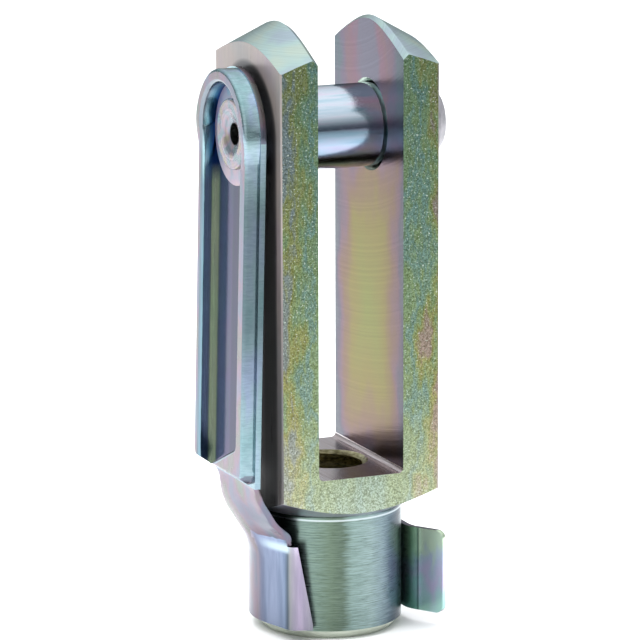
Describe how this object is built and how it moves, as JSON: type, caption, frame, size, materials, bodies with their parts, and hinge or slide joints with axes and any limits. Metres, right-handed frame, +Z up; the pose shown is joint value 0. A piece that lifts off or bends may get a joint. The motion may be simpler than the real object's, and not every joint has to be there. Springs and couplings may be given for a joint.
{
  "type": "clevis rod end",
  "caption": "Steel fork head with a tapped shank, a cross pin through its eye and a spring clip that swings about the pin and snaps round the shank.",
  "frame": {"origin": "on the thread's axis, at the flat end face of the shank", "axes": "+Z up the shank to the fork's eye, +X along the cross pin away from the clip's lever, the clip's band opens to -Y"},
  "size_m": [0.0224, 0.016, 0.0583],
  "materials": {
    "fork_steel": "turned and milled, iridescent thin zinc",
    "clip_steel": "pressed sheet, glossy iridescent zinc",
    "pin_steel": "turned, glossy iridescent zinc"
  },
  "bodies": {
    "fork": {"fork": "fork_steel"},
    "clip": {"spring_clip": "clip_steel", "clip_pin": "pin_steel"}
  },
  "joints": [
    {"name": "clip_swing", "type": "hinge", "parent": "fork", "child": "clip", "pos_m": [0, 0, 0.048], "axis": [1, 0, 0], "range_deg": [0, 330]}
  ]
}
